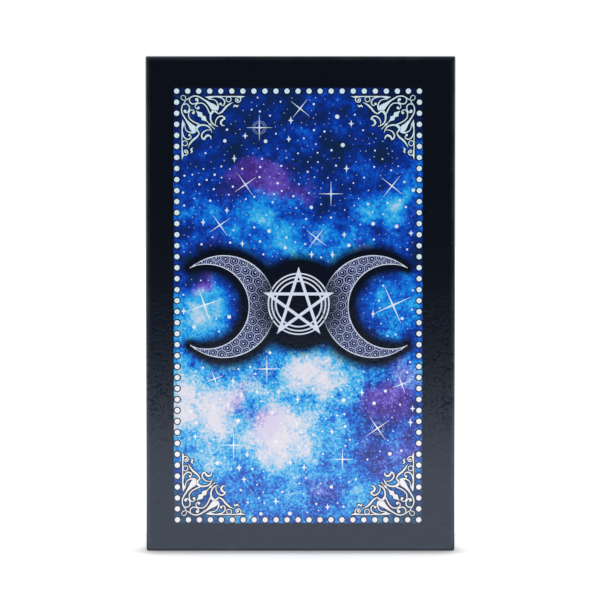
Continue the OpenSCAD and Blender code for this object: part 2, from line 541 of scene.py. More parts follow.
class Front:
    """Where the printed shapes lie on the front, in millimetres."""

    def __init__(self, context):
        look = context.scene.tarot_print
        self.look = look
        self.middle = FACE_MIDDLE + complex(look.shift_x, look.shift_z) / MM
        self.pitch = look.bead_pitch / MM
        self.half_beads = complex(look.beads_across - 1, look.beads_up - 1) * self.pitch / 2
        margin = look.print_margin / MM
        self.half_print = self.half_beads + complex(margin, margin)
        self.emblem = self.middle + complex(look.emblem_x, look.emblem_z) / MM
        self.moon_radius = look.moon_radius / MM
        self.bite_radius = look.moon_bite / MM
        self.star_radius = look.star_radius / MM

    def moon(self, side):
        """Middles of a moon's outer circle and of the circle cut from it."""
        outer = self.emblem + complex(side * self.look.moon_reach, -self.look.moon_drop) / MM
        return outer, outer + side * self.look.moon_bite_shift / MM

    def moon_tip(self):
        """A moon's tip from the middle of its outer circle, with the cut to the right."""
        shift = self.look.moon_bite_shift / MM
        far = (self.moon_radius ** 2 - self.bite_radius ** 2 + shift ** 2) / (2 * shift)
        return complex(far, math.sqrt(self.moon_radius ** 2 - far ** 2))

    def in_moon(self, point, side):
        """How far a point lies outside a moon, less than 0 in it."""
        outer, bite = self.moon(side)
        return max(abs(point - outer) - self.moon_radius, self.bite_radius - abs(point - bite))

    def off_emblem(self, point):
        """How far a point lies from the moons and the pentacle."""
        star = abs(point - self.emblem) - self.star_radius
        return min(star, self.in_moon(point, -1), self.in_moon(point, 1))


# Clouds of the printed sky: middle across and up, half width and half height, in millimetres, and
# how much they lighten it, or how purple they are.
SKY_CLOUDS = (
    (0, 54, 40, 10, -0.16),
    (-22, 40, 13, 9, -0.16),
    (19, 42, 14, 7, -0.14),
    (2, 37, 10, 8, -0.1),
    (-14, 21, 22, 9, 0.2),
    (23, 26, 11, 5, 0.36),
    (7, 15, 15, 6, 0.22),
    (-28, 11, 8, 7, -0.16),
    (30, 13, 6, 9, -0.3),
    (-25, 0, 10, 9, 0.44),
    (25, 1, 10, 9, 0.16),
    (-28, -28, 14, 14, 0.5),
    (3, -21, 13, 7, 0.42),
    (-4, -39, 14, 10, 0.44),
    (-4, -29, 30, 16, 0.14),
    (12, -15, 8, 6, 0.2),
    (15, -28, 7, 9, -0.2),
    (27, -34, 12, 14, -0.2),
    (20, -47, 12, 6, 0.08),
)
SKY_PURPLES = (
    (-7, 33, 15, 6, 1.1),
    (16, 13, 7, 3, 0.7),
    (-25, 6, 7, 3, 0.7),
    (21, -25, 12, 6, 1.1),
    (-17, -26, 5, 9, 0.8),
    (-8, -35, 8, 6, 0.9),
    (8, -47, 13, 4, 0.5),
    (27, -38, 11, 12, 0.6),
    (29, -18, 9, 7, 0.6),
)
SKY_RUN = (
    (0.0, tone(16, 40, 60)),
    (0.17, tone(10, 38, 92)),
    (0.31, tone(0, 46, 150)),
    (0.43, tone(0, 82, 204)),
    (0.53, tone(0, 134, 232)),
    (0.64, tone(44, 182, 242)),
    (0.75, tone(132, 204, 242)),
    (0.87, tone(200, 220, 243)),
    (1.0, tone(238, 233, 243)),
)
PURPLE_RUN = (
    (0.0, tone(30, 26, 78)),
    (0.34, tone(74, 46, 150)),
    (0.56, tone(112, 88, 206)),
    (0.74, tone(180, 162, 232)),
    (0.92, tone(228, 218, 242)),
)
# How far the clouds are pulled about, in millimetres.
SKY_DRIFT = 24


def cloud_sum(paint, x, z, clouds):
    """The soft clouds of a table, added up."""
    total = None
    for cx, cz, wide, high, strength in clouds:
        cloud = paint.reach((x - cx) / wide, (z - cz) / high).fade(1.25, 0.1) * strength
        total = cloud if total is None else total + cloud
    return total


def printed_sky(paint, here, across, up):
    """A sky of frayed clouds, from dark blue through azure to lilac white, grained like a sponged print."""
    drift = paint.noise(here, 0.07, 5, 0.55, 1.5, out=1)
    drift_x, _, drift_z = paint.split(drift)
    x = across + (drift_x - 0.5) * SKY_DRIFT
    z = up + (drift_z - 0.5) * SKY_DRIFT
    fray = paint.noise(here, 0.13, 9, 0.66, 7)
    grain = paint.noise(here, 1.35, 3, 0.6, 12)
    low = up.fade(6.0, -22.0)
    spray = paint.cells(here, 1.5).below(0.2, 0.12) * (0.08 + low * 0.22)
    light = 0.4 + cloud_sum(paint, x, z, SKY_CLOUDS) + low * 0.18 + spray
    light = light + (fray - 0.5) * 1.5 + (grain - 0.5) * (0.45 + low * 0.55)
    sky = paint.node("ShaderNodeValToRGB", {"stops": SKY_RUN}, {0: light * 0.86})
    purple = paint.node("ShaderNodeValToRGB", {"stops": PURPLE_RUN}, {0: light * 0.86 + 0.05})
    tint = paint.noise(here, 0.11, 8, 0.62, 33)
    patch = (cloud_sum(paint, x, z, SKY_PURPLES) + (tint - 0.5) * 1.9).fade(0.2, 1.0)
    return paint.mix(patch, sky, purple)


# Distances from the emblem between which its dark glow fades, and how softly its parts' glows run together.
GLOW_FULL, GLOW_END = 1.1, 4.6
GLOW_MELT = 4.0
# Distances from the pentacle's middle between which the moons come out of its shade.
PENTACLE_DARK, PENTACLE_CLEAR = 8.0, 15.0


def emblem_shade(front, paint, across, up):
    """How dark the ground is round the moons and the pentacle, and how far it is tinted behind the lace."""
    offset = front.emblem - front.middle
    x = across - offset.real
    z = up - offset.imag
    away = paint.reach(x, z)
    near = away - front.star_radius - 0.4
    tint = away.fade(PENTACLE_DARK, PENTACLE_CLEAR)
    behind = 0.0
    tip = front.moon_tip()
    for side in (-1, 1):
        outer, bite = front.moon(side)
        shift = abs(bite - outer)
        outer -= front.emblem
        out = (x - outer.real) * side
        high = abs(z - outer.imag)
        edge = paint.reach(out, high) - front.moon_radius
        cut = front.bite_radius - paint.reach(out - shift, high)
        slope = out * tip.imag - high * tip.real
        beyond = slope.math("GREATER_THAN", slope, (tip.imag - high).most(0.0) * shift)
        to_tip = paint.reach(out - tip.real, high - tip.imag)
        rim = edge.most(cut)
        behind = rim.below(-0.1, 0.1) * tint + behind
        moon = beyond * to_tip + (1 - beyond) * rim
        near = near.math("SMOOTH_MIN", near, moon * (1 + out.fade(3.0, 9.5) * 0.6), GLOW_MELT)
    return near.fade(GLOW_END, GLOW_FULL), behind


class TAROT_OT_lid_shell(bpy.types.Operator):
    """Lays glossy black paper over the lid, folded round its edges and in at its rim"""

    bl_idname = "tarot.lid_shell"
    bl_label = "Lid paper"

    def execute(self, context):
        material, paint = new_paint("black_laminate")
        here = paint.place()
        shade = film_shade(paint, here, context.scene.tarot_print.film)
        rough = FILM_ROUGH + paint.noise(here, 0.2, 4, 0.6, 2).fade(0.45, 0.8) * 0.06
        surface(paint, shade, rough, *film_finish(paint, here), **FILM)
        fold_paper("lid_shell", "lid_wrap", material, "lid", "printed_wrap")
        return {"FINISHED"}


# Radius of the printed sheet's corners, and the room for a scroll in each, across plus up, in millimetres.
SHEET_CORNER = 0.3
SCROLL_REACH = 22.0


class TAROT_OT_front_sheet(bpy.types.Operator):
    """Prints the lid's front: a black border round a panel of night sky"""

    bl_idname = "tarot.front_sheet"
    bl_label = "Printed front"

    def execute(self, context):
        front = Front(context)
        half = FACE_HALF - complex(1, 1) * front.look.edge_round / MM
        rim = []
        for turn in range(4):
            sign = complex(1 if turn in (0, 3) else -1, 1 if turn < 2 else -1)
            pivot = complex(half.real * sign.real, half.imag * sign.imag) - sign * SHEET_CORNER
            rim += [pivot + cmath.rect(SHEET_CORNER, math.pi / 2 * (turn + i / 4)) for i in range(5)]
        inlay = Inlay()
        inlay.outline([FACE_MIDDLE + p for p in rim])
        material, paint = new_paint("printed_front")
        here = paint.place()
        across, up = paint.flat(here, front.middle)
        sky = printed_sky(paint, here, across, up)
        dark, behind = emblem_shade(front, paint, across, up)
        sky = paint.mix(dark, sky, front.look.glow)
        sky = paint.mix(behind, sky, front.look.moon_ground)
        corner = front.half_print.real + front.half_print.imag - abs(across) - abs(up)
        sky = paint.mix(corner.fade(SCROLL_REACH, 5.0) * 0.85, sky, front.look.rim)
        edge = (abs(across) - front.half_print.real).most(abs(up) - front.half_print.imag)
        shade = paint.mix(edge.below(0.0, 0.06), film_shade(paint, here, front.look.film), sky)
        surface(paint, shade, FILM_ROUGH, *film_finish(paint, here), **FILM)
        inlay.lay("front_sheet", SHEET_TOP, material, 0.0)
        return {"FINISHED"}


# Sides of a bead's outline, and the share of its radius at which its rim starts, under the bead.
BEAD_SIDES = 24
RIM_UNDERLAP = 0.9


class TAROT_OT_bead_border(bpy.types.Operator):
    """Prints the border of pale beads with dark rims"""

    bl_idname = "tarot.bead_border"
    bl_label = "Bead border"

    def execute(self, context):
        front = Front(context)
        across = front.look.beads_across
        up = front.look.beads_up
        corner = front.middle - front.half_beads
        spots = [complex(i, k) for i in range(across) for k in (0, up - 1)]
        spots += [complex(i, k) for i in (0, across - 1) for k in range(1, up - 1)]
        radius = front.look.bead_radius / MM
        rim = front.look.bead_rim / MM
        beads = Inlay()
        rims = Inlay()
        for spot in spots:
            middle = corner + spot * front.pitch
            beads.disc(middle, radius, BEAD_SIDES)
            rims.ring(middle, radius * RIM_UNDERLAP, radius + rim, BEAD_SIDES)
        ink = ink_paint("bead_ink", front.look.ink, pale=True)
        dark = ink_paint("bead_rim_ink", front.look.rim)
        rims.lay("bead_rims", SHADE_TOP, dark)
        beads.lay("beads", INK_TOP, ink)
        return {"FINISHED"}


# Half of a corner scroll, in millimetres from its outer corner: points of each stroke and widths along it.
SCROLL_STROKES = (
    ((0.24 + 0.24j, 0.06 + 0.62j, 0.26 + 1.08j, 0.8 + 1.36j, 1.5 + 1.28j, 2.3 + 0.82j),
     (0.2, 0.22, 0.26, 0.28)),
    ((1.9 + 1.08j, 2.6 + 0.6j, 3.6 + 0.25j, 4.8 + 0.4j, 6.2 + 1.2j, 7.7 + 2.3j, 9.0 + 3.3j),
     (0.26, 0.32, 0.37, 0.46, 0.8)),
    ((6.6 + 1.4j, 7.8 + 2.4j, 8.7 + 3.2j, 9.15 + 4.3j), (0.4, 0.95, 1.7, 0.65)),
    ((9.6 + 4.0j, 10.0 + 3.2j, 9.9 + 2.3j, 9.45 + 1.55j, 8.8 + 1.2j, 8.1 + 1.12j, 7.4 + 1.05j),
     (0.7, 0.55, 0.36, 0.3, 0.27, 0.25, 0.14)),
    ((2.5 + 0.85j, 2.35 + 1.55j, 2.9 + 2.25j, 3.8 + 2.3j, 4.55 + 1.8j, 4.6 + 1.1j, 4.2 + 0.9j),
     (0.28, 0.34, 0.34, 0.24)),
    ((4.5 + 3.8j, 3.95 + 3.3j, 4.05 + 2.6j, 4.8 + 2.15j, 5.9 + 2.2j, 6.8 + 2.95j, 7.4 + 4.0j, 7.9 + 4.95j,
      8.5 + 4.4j), (0.22, 0.3, 0.33, 0.37, 0.46)),
    ((8.6 + 4.3j, 8.0 + 5.4j, 8.1 + 6.8j, 8.75 + 7.8j, 10.0 + 8.4j), (0.75, 0.5, 0.42, 0.38, 0.18)),
    ((9.35 + 8.2j, 9.35 + 7.0j, 9.9 + 6.05j, 10.8 + 5.6j, 11.6 + 5.9j, 11.85 + 6.5j),
     (0.15, 0.36, 0.42, 0.46)),
    ((11.7 + 6.3j, 11.0 + 6.8j, 10.75 + 7.4j, 11.1 + 8.0j, 11.75 + 8.15j), (0.4, 0.58, 0.55, 0.4, 0.2)),
    ((8.5 + 4.35j, 9.2 + 4.3j, 10.1 + 5.0j), (0.7, 0.55, 0.32)),
    ((10.15 + 5.0j, 11.1 + 4.4j, 12.1 + 3.2j, 13.1 + 2.4j, 14.0 + 1.95j), (0.3, 0.48, 0.55, 0.4, 0.12)),
    ((17.3 + 0.32j, 16.0 + 0.5j, 14.6 + 0.38j, 11.8 + 0.36j, 9.2 + 0.38j, 7.7 + 0.62j, 6.55 + 0.5j),
     (0.06, 0.62, 0.34, 0.28, 0.32, 0.78, 0.1)),
    ((8.8 + 0.4j, 10.2 + 0.55j, 11.2 + 0.9j, 11.8 + 1.75j, 11.55 + 2.6j, 10.9 + 2.8j),
     (0.22, 0.36, 0.38, 0.24)),
    ((16.0 + 0.7j, 16.05 + 1.4j, 15.4 + 1.9j, 14.75 + 1.6j, 14.75 + 1.0j, 15.2 + 0.95j),
     (0.28, 0.32, 0.28, 0.2)),
    ((14.1 + 3.3j, 14.45 + 2.8j, 15.1 + 3.0j, 15.5 + 2.6j), (0.12, 0.5, 0.48, 0.12)),
)
# Middles and radii of the balls that end its curls, and the middle, inner and outer radius of its ring.
SCROLL_BALLS = (
    (4.25 + 1.15j, 0.4),
    (4.72 + 3.4j, 0.38),
    (10.68 + 2.35j, 0.36),
    (15.25 + 1.3j, 0.3),
    (8.95 + 3.35j, 0.82),
)
SCROLL_RING = (12.85 + 1.12j, 0.54, 0.8)
# The spindle on the corner's diagonal: where it starts, and half widths at distances along it.
SPINDLE_FOOT = 4.18 + 4.18j
SPINDLE = (
    (0.0, 0.06), (0.7, 0.34), (1.4, 0.78), (2.0, 0.38), (2.2, 0.36), (2.8, 0.74), (3.4, 0.36), (3.9, 0.14),
    (4.6, 0.1), (4.9, 0.22), (5.2, 0.3), (5.5, 0.22), (5.8, 0.1), (6.8, 0.14), (7.0, 0.05),
)
# How much wider the dark shade is than the drawn lines, and the printed ones.
SHADE_GROW = 0.52
INK_GROW = -0.04


def corner_scroll(grow):
    """One corner scroll in millimetres from its outer corner, its lines widened by grow."""
    half = Inlay()
    for points, widths in SCROLL_STROKES:
        half.stroke(points, widths, grow=grow)
    for middle, radius in SCROLL_BALLS:
        half.disc(middle, radius + grow / 2)
    middle, inner, outer = SCROLL_RING
    half.ring(middle, inner - grow / 2, outer + grow / 2, 28)
    whole = Inlay()
    whole.copy(half, lambda p: p)
    whole.copy(half, lambda p: complex(p.imag, p.real))
    along = cmath.rect(1, math.pi / 4)
    right = [SPINDLE_FOOT + along * (far + 1j * (-wide - grow / 2)) for far, wide in SPINDLE]
    left = [SPINDLE_FOOT + along * (far + 1j * (wide + grow / 2)) for far, wide in SPINDLE]
    total = len(SPINDLE)
    whole.add(right + left, [(i, i + 1, total + i + 1, total + i) for i in range(total - 1)])
    return whole


class TAROT_OT_corner_scrolls(bpy.types.Operator):
    """Prints a scroll of leaves and curls in each corner, over a dark shade"""

    bl_idname = "tarot.corner_scrolls"
    bl_label = "Corner scrolls"

    def execute(self, context):
        front = Front(context)
        inset = front.look.scroll_inset / MM
        reach = front.half_beads - complex(inset, inset)
        for name, grow, top, shade in (
            ("scroll_shades", SHADE_GROW, SHADE_TOP, front.look.rim),
            ("corner_scrolls", INK_GROW, INK_TOP, front.look.ink),
        ):
            one = corner_scroll(grow)
            four = Inlay()
            for side in (-1, 1):
                for end in (-1, 1):
                    corner = front.middle + complex(side * reach.real, end * reach.imag)
                    four.copy(one, lambda p: corner - complex(side * p.real, end * p.imag))
            ink = ink_paint(name + "_ink", shade, pale=top == INK_TOP)
            four.lay(name, top, ink)
        return {"FINISHED"}


# Steps along a moon's edge, the width its line thins to, and the steps of its filled tips.
MOON_STEPS = 90
MOON_LINE_END = 0.05
TIP_STEP = 0.035
# Spots of the lace: how far apart they are, how far they stray, and the tilt of their rows in degrees.
LACE_SEED = 58
LACE_PITCH = 2.45
LACE_STRAY = 0.45
LACE_TILT = 13
LACE_ROWS = range(-9, 10)
# A dot on each spot, and lines round it: their share of the way to the next spot's, and their half width.
LACE_DOT = 0.24
LACE_LINES = ((0.56, 0.05), (0.93, 0.056))
LACE_SIDES = 36


class TAROT_OT_moons(bpy.types.Operator):
    """Prints the two moons: their outlines and the lace that fills them"""

    bl_idname = "tarot.moons"
    bl_label = "Moons"

    def execute(self, context):
        front = Front(context)
        line = front.look.line / MM
        across = front.emblem.real
        left = Inlay()
        self.lace(front, left, -1, line)
        outlines = Inlay()
        lace = Inlay()
        for side in (-1, 1):
            self.outline(front, outlines, side, line)
            lace.copy(left, lambda p: complex(across - side * (p.real - across), p.imag))
        ink = ink_paint("moon_ink", front.look.emblem_ink, faded=self.faded(front))
        grey = ink_paint("lace_ink", front.look.lace, faded=self.faded(front))
        outlines.lay("moon_outlines", INK_TOP, ink)
        lace.lay("moon_lace", SHADE_TOP, grey)
        return {"FINISHED"}

    def faded(self, front):
        """The ink darkens towards the pentacle, as if it lay under it."""

        def apply(paint, here, tint):
            away = paint.reach(*paint.flat(here, front.emblem))
            return paint.mix(away.fade(PENTACLE_CLEAR, PENTACLE_DARK) * 0.8, tint, front.look.glow)

        return apply

    def outline(self, front, inlay, side, line):
        """A moon's two edges as lines, and its two tips filled."""
        outer, bite = front.moon(side)
        tip = front.moon_tip()
        open_out = cmath.phase(tip)
        open_bite = cmath.phase(tip - abs(bite - outer))
        out_line = (outer, front.moon_radius - line / 2, open_out)
        bite_line = (bite, front.bite_radius + line / 2, open_bite)
        for middle, radius, gap in (out_line, bite_line):
            points = []
            for i in range(MOON_STEPS + 1):
                angle = gap + (math.tau - 2 * gap) * i / MOON_STEPS
                points.append(middle + side * cmath.rect(radius, angle))
            inlay.stroke(points, (MOON_LINE_END,) + (line,) * 9 + (MOON_LINE_END,), 1)
        for end in (-1, 1):
            out_arc = []
            bite_arc = []
            for i in range(5):
                turn = i * TIP_STEP
                out_arc.append(outer + side * cmath.rect(front.moon_radius, end * (open_out + turn)))
                bite_arc.append(bite + side * cmath.rect(front.bite_radius, end * (open_bite + turn)))
            inlay.outline(out_arc + bite_arc[:0:-1])

    def lace(self, front, inlay, side, line):
        """Cells round strewn spots, kept inside the moon: each has a dot, a ring and an edge."""
        rng = random.Random(LACE_SEED)
        tilt = cmath.rect(LACE_PITCH, math.radians(LACE_TILT * side))
        outer, _ = front.moon(side)

        def inside(point):
            return front.in_moon(point, side) < -line * 0.6

        spots = []
        for row in LACE_ROWS:
            for step in LACE_ROWS:
                spot = outer + tilt * complex(step + 0.5 * (row % 2), row * math.sqrt(0.75))
                spots.append(spot + cmath.rect(rng.uniform(0.0, LACE_STRAY), rng.uniform(0.0, math.tau)))
        for spot in spots:
            if front.in_moon(spot, side) > LACE_PITCH:
                continue
            ways = [other - spot for other in spots if 0 < abs(other - spot) < 2 * LACE_PITCH]
            rays = []
            for turn in turns(LACE_SIDES):
                nearest = max((way / turn).real / abs(way) ** 2 for way in ways)
                rays.append((turn, 0.5 / nearest))
            if inside(spot):
                inlay.disc(spot, LACE_DOT, 12)
            for share, half in LACE_LINES:
                pairs = [(spot + t * (r * share - half), spot + t * (r * share + half)) for t, r in rays]
                inlay.band(pairs, inside)


# Outer and inner radii of the pentacle's rings, in millimetres.
PENTACLE_RINGS = ((8.33, 7.96), (7.4, 7.02), (6.32, 5.92))


class TAROT_OT_pentacle(bpy.types.Operator):
    """Prints the pentacle: three rings and a star of crossing bands"""

    bl_idname = "tarot.pentacle"
    bl_label = "Pentacle"

    def execute(self, context):
        front = Front(context)
        rings = Inlay()
        for outer, inner in PENTACLE_RINGS:
            rings.ring(front.emblem, inner, outer, 120)
        star = Inlay()
        mitre = front.look.star_band / MM / 2 / math.sin(math.radians(18))
        for k in range(5):
            ends = []
            for tip in (k, k + 2):
                turn = cmath.rect(1, math.pi / 2 + math.tau * tip / 5)
                ends.append((turn * front.star_radius, turn * (front.star_radius - 2 * mitre)))
            (tip_a, root_a), (tip_b, root_b) = ends
            star.outline([front.emblem + p for p in (tip_a, tip_b, root_b, root_a)])
        ink = ink_paint("pentacle_ink", front.look.emblem_ink)
        rings.lay("pentacle_rings", INK_TOP, ink)
        star.lay("pentacle_star", STAR_TOP, ink)
        return {"FINISHED"}


STAR_SEED = 416
# Sparkles inside the moons: side, turn and length of their rays.
MOON_SPARKLES = ((-1, 0.33, 5.0), (1, 0.42, 5.4))
SPARKLES = 13
SPARKLE_TURNS = (0.0, 0.0, 0.35, 0.5, 0.6, 0.9)
TWINKLES = 36
# Round stars: how many, room round them, distance from the emblem, smallest and largest radius, and sides.
ROUND_STARS = ((28, 1.6, 0.9, 0.4, 0.58, 16), (200, 0.9, 0.6, 0.17, 0.32, 12))
FAR_STARS = ((640, 0.6, 0.35, 0.08, 0.17, 8),)
# Inner and outer radii of the rings round every third sparkle.
HALO_RINGS = ((1.28, 1.36), (1.72, 1.8))
# How far from the beads the stars stay, in millimetres, and how often a free spot is sought for one.
SKY_EDGE = 1.6
SKY_TRIES = 4000


class TAROT_OT_stars(bpy.types.Operator):
    """Strews the sky with round stars, four-pointed stars and long sparkles"""

    bl_idname = "tarot.stars"
    bl_label = "Stars"

    def execute(self, context):
        front = Front(context)
        rng = random.Random(STAR_SEED)
        taken = []
        bright = Inlay()
        soft = Inlay()
        for side, turn, arm in MOON_SPARKLES:
            _, bite = front.moon(side)
            spot = bite + side * 0.6 + 0.4j
            self.sparkle(bright, spot, arm, turn, 0.5)
            taken.append((spot, 2.2))
        for i in range(SPARKLES):
            spot = self.free(front, rng, taken, 6.0, 3.0)
            turn = rng.choice(SPARKLE_TURNS)
            self.sparkle(bright, spot, rng.uniform(2.5, 3.9), turn, 0.36)
            if i % 3 == 0:
                for inner, outer in HALO_RINGS:
                    soft.ring(spot, inner, outer, 40)
        taken = [(spot, 2.4) for spot, room in taken]
        for i in range(TWINKLES):
            spot = self.free(front, rng, taken, 1.5, 1.0)
            self.twinkle(bright, spot, rng.uniform(0.85, 1.2), rng.uniform(0.6, 0.8))
        for inlay, kinds in ((bright, ROUND_STARS), (soft, FAR_STARS)):
            for number, room, clear, least, most, sides in kinds:
                for i in range(number):
                    spot = self.free(front, rng, taken, room, clear)
                    inlay.disc(spot, rng.uniform(least, most), sides)
        white = ink_paint("star_ink", tone(224, 240, 255), pale=True)
        pale = ink_paint("far_star_ink", tone(176, 204, 244))
        bright.lay("stars", INK_TOP, white)
        soft.lay("far_stars", SHADE_TOP, pale)
        return {"FINISHED"}

    def free(self, front, rng, taken, room, clear):
        """A spot of sky away from the emblem, the scrolls and the other stars."""
        half = front.half_beads
        for attempt in range(SKY_TRIES):
            across = rng.uniform(-1, 1) * (half.real - SKY_EDGE)
            up = rng.uniform(-1, 1) * (half.imag - SKY_EDGE)
            spot = front.middle + complex(across, up)
            if half.real - abs(across) + (half.imag - abs(up)) < SCROLL_REACH + 2 * clear:
                continue
            if front.off_emblem(spot) < 2.6 + clear:
                continue
            if any(abs(spot - other) < room + width for other, width in taken):
                continue
            taken.append((spot, room))
            return spot
        raise RuntimeError("no room is left in the printed sky for another star")

    def twinkle(self, inlay, spot, tall, wide):
        """A small star with four points."""
        points = []
        for k, tip in enumerate((wide, 1j * tall, -wide, -1j * tall)):
            points += [spot + tip, spot + cmath.rect(0.3, math.pi / 4 + k * math.pi / 2)]
        inlay.outline(points)

    def sparkle(self, inlay, spot, arm, turn, wide):
        """Four thin rays, thickest in the middle."""
        inlay.disc(spot, wide * 0.85, 12)
        for k in range(2):
            ray = cmath.rect(arm, turn + k * math.pi / 2)
            inlay.stroke((spot - ray, spot, spot + ray), (0.06, wide * 0.45, wide, wide * 0.45, 0.06), 6)


class TAROT_OT_base_shell(bpy.types.Operator):
    """Lays satin black paper over the base"""

    bl_idname = "tarot.base_shell"
    bl_label = "Base paper"

    def execute(self, context):
        material, paint = new_paint("black_paper")
        here = paint.place()
        black = context.scene.tarot_box.base_paper
        fibre = paint.noise(here, 1.1, 6, 0.7, 3)
        scuff = paint.noise(here, 0.06, 6, 0.7, 19).fade(0.48, 0.72)
        shade = paint.mix(fibre.fade(0.42, 0.7) * 0.5, black, tone(46, 47, 52))
        shade = paint.mix(scuff * fibre.fade(0.4, 0.6) * 0.3, shade, tone(74, 75, 80))
        # Painted highlight along the base paper's edges.
        shade = painted_edge_highlight(paint, here, shade, *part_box("base_wrap"))
        rough = 0.4 + fibre * 0.2 + scuff * 0.12
        surface(paint, shade, rough, fibre * 0.05)
        fold_paper("base_shell", "base_wrap", material, "base", "black_wrap")
        return {"FINISHED"}


class TAROT_OT_boards(bpy.types.Operator):
    """Colours the grey boards, the lining papers and the corner stays"""

    bl_idname = "tarot.boards"
    bl_label = "Boards and linings"

    def execute(self, context):
        look = context.scene.tarot_box
        board, paint = new_paint("grey_board")
        here = paint.place()
        pulp = paint.noise(here, 0.9, 6, 0.7, 6)
        chosen = paint.noise(here, 0.6, 2, 0.5, 14).fade(0.55, 0.65)
        flecks = paint.cells(here, 1.1).below(0.16, 0.05) * chosen
        shade = paint.mix(pulp.fade(0.35, 0.7), tone(122, 118, 111), look.board)
        shade = paint.mix(flecks * 0.7, shade, tone(78, 76, 74))
        surface(paint, shade, 0.9, pulp * 0.06)
        lining, paint = new_paint("lining_paper")
        here = paint.place()
        fibre = paint.noise(here, 1.2, 5, 0.7, 11)
        shade = paint.mix(fibre.fade(0.45, 0.75) * 0.4, look.lining, tone(52, 52, 56))
        surface(paint, shade, 0.7 + fibre * 0.15, fibre * 0.03)
        stay, paint = new_paint("kraft_tape")
        here = paint.place()
        x, y, z = paint.split(here)
        strands = paint.noise(paint.join(x, y * 0.1, z), 1.4, 5, 0.7, 17)
        shade = paint.mix(strands.fade(0.35, 0.7), tone(128, 92, 56), look.stay)
        surface(paint, shade, 0.8, strands * 0.03)
        for part in ("lid", "base"):
            dress(part + "_board", board)
            dress(part + "_liner", lining)
            dress(part + "_corner_stays", stay)
        return {"FINISHED"}


# Spacing of the lattice on a card's back, in millimetres.
LATTICE = 7.0


def edge_gap(x, z, half):
    """How far a point lies inside the edge of a card or cover of that half size."""
    return (half.real - abs(x)).least(half.imag - abs(z))


def card_back(paint, look, x, z, half):
    """A card's back: a silver lattice with dots at its crossings, a roundel and a border line."""
    slant = (x + z).wave(LATTICE).least((x - z).wave(LATTICE))
    knots = paint.reach(x.wave(LATTICE), z.wave(LATTICE))
    silver = slant.below(0.16, 0.07).most(knots.below(0.8, 0.08))
    middle = paint.reach(x, z)
    silver = silver * middle.fade(17.4, 17.6)
    silver = silver.most(middle.line(16.4, 0.5)).most(middle.line(14.2, 0.2))
    petals = paint.petals(x, z, 8) * 3.2 + 9.2
    silver = silver.most(middle.line(petals, 0.3, 0.1)).most(middle.below(3.6, 0.1))
    edge = edge_gap(x, z, half)
    silver = silver * edge.fade(4.3, 4.5)
    silver = silver.most(edge.line(3.6, 0.3))
    cloud = paint.noise(paint.join(x, 0.0, z), 0.07, 5, 0.6, 3).fade(0.35, 0.7)
    ground = paint.mix(cloud, look.back, tone(30, 62, 142))
    return paint.mix(edge.fade(1.5, 1.6), look.stock, paint.mix(silver, ground, look.silver))


def suit_motif(paint, suit, x, z):
    """Distance to the drawn sign of a suit, less than 0 in it."""
    wide = abs(x)
    if suit == "wands":
        rods = x.wave(13.0) - (1.5 + abs(z) * 0.02)
        buds = paint.reach(x.wave(13.0) - 2.0, (z - 6).wave(17.0)) - 1.7
        knobs = paint.reach(x.wave(13.0), abs(z) - 27) - 2.9
        return rods.least(buds).most(abs(z) - 27).least(knobs).most(wide - 17)
    if suit == "cups":
        bowl = (paint.reach(x, z - 12) - 13).most(z - 12)
        lip = (wide - 14.2).most(abs(z - 12.6) - 1.1)
        stem = (wide - 1.4 - abs(z + 8) * 0.1).most(abs(z + 8) - 10)
        knop = paint.reach(x, (z + 6) * 1.4) - 3.6
        foot = (wide - 9.5).most(abs(z + 19) - 1.6)
        return bowl.least(lip).least(stem).least(knop).least(foot)
    if suit == "swords":
        blade = (wide - (36 - z) * 0.07).most(-12 - z).most(z - 34)
        guard = (wide - 11).most(abs(z + 13 - wide * wide * 0.02) - 1.4)
        grip = (wide - 1.7).most(abs(z + 20) - 6)
        return blade.least(guard).least(grip).least(paint.reach(x, z + 28) - 2.8)
    middle = paint.reach(x, z)
    if suit == "pentacles":
        star = middle - (paint.petals(x, z, 5) * 3.4 + 7.6)
        rim = (abs(middle - 15.5) - 0.7).least(abs(middle - 17.8) - 0.35)
        return star.least(rim)
    rays = middle - (paint.petals(x, z, 12) * 4 + 17)
    return rays.most(12.4 - middle).least(middle - 10)


def card_face(paint, look, suit, sky, mark, x, z, half):
    """A card's face: a painted panel in two frame lines, with the sign of its suit and no words."""
    edge = edge_gap(x, z, half)
    flat = paint.join(x, 0.0, z)
    cloud = paint.noise(flat, 0.06, 5, 0.6, 4).fade(0.35, 0.68)
    rise = (z / half.imag * 0.5 + 0.5 + (cloud - 0.5) * 0.7).fade(0.0, 1.15)
    panel = paint.mix(rise, tone(*sky), look.dawn)
    hill = z + 33 + paint.noise(paint.join(x, 0.0, 0.0), 0.05, 2, 0.5, 8) * 16
    shadow = paint.noise(flat, 0.35, 4, 0.6, 6).fade(0.3, 0.7) * 0.5 + 0.3
    panel = paint.mix(hill.below(0.0, 0.3) * shadow, panel, tone(*(c * 0.35 for c in sky)))
    motif = suit_motif(paint, suit, x, z)
    glow = motif.fade(9.0, 0.0) * 0.5
    panel = paint.mix(glow, panel, look.dawn)
    shine = paint.noise(flat, 0.3, 3, 0.5, 9).fade(0.3, 0.7)
    leaf = paint.mix(shine, tone(*(c * 0.8 for c in mark)), tone(*mark))
    panel = paint.mix(motif.below(0.0, 0.12), panel, leaf)
    arch = (paint.reach(half.real - 6.0 - abs(x), half.imag - 6.0 - abs(z)) - 6.5).most(6.0 - edge)
    lines = abs(motif).below(0.3, 0.1).most(edge.line(4.7, 0.4)).most(abs(arch).below(0.2, 0.08))
    gold = edge.line(6.0, 0.3).most((arch + 1.4).below(0.0, 0.1))
    panel = paint.mix(gold, panel, look.gold)
    panel = paint.mix(lines, panel, look.line)
    return paint.mix(edge.fade(4.1, 4.2), look.stock, panel)


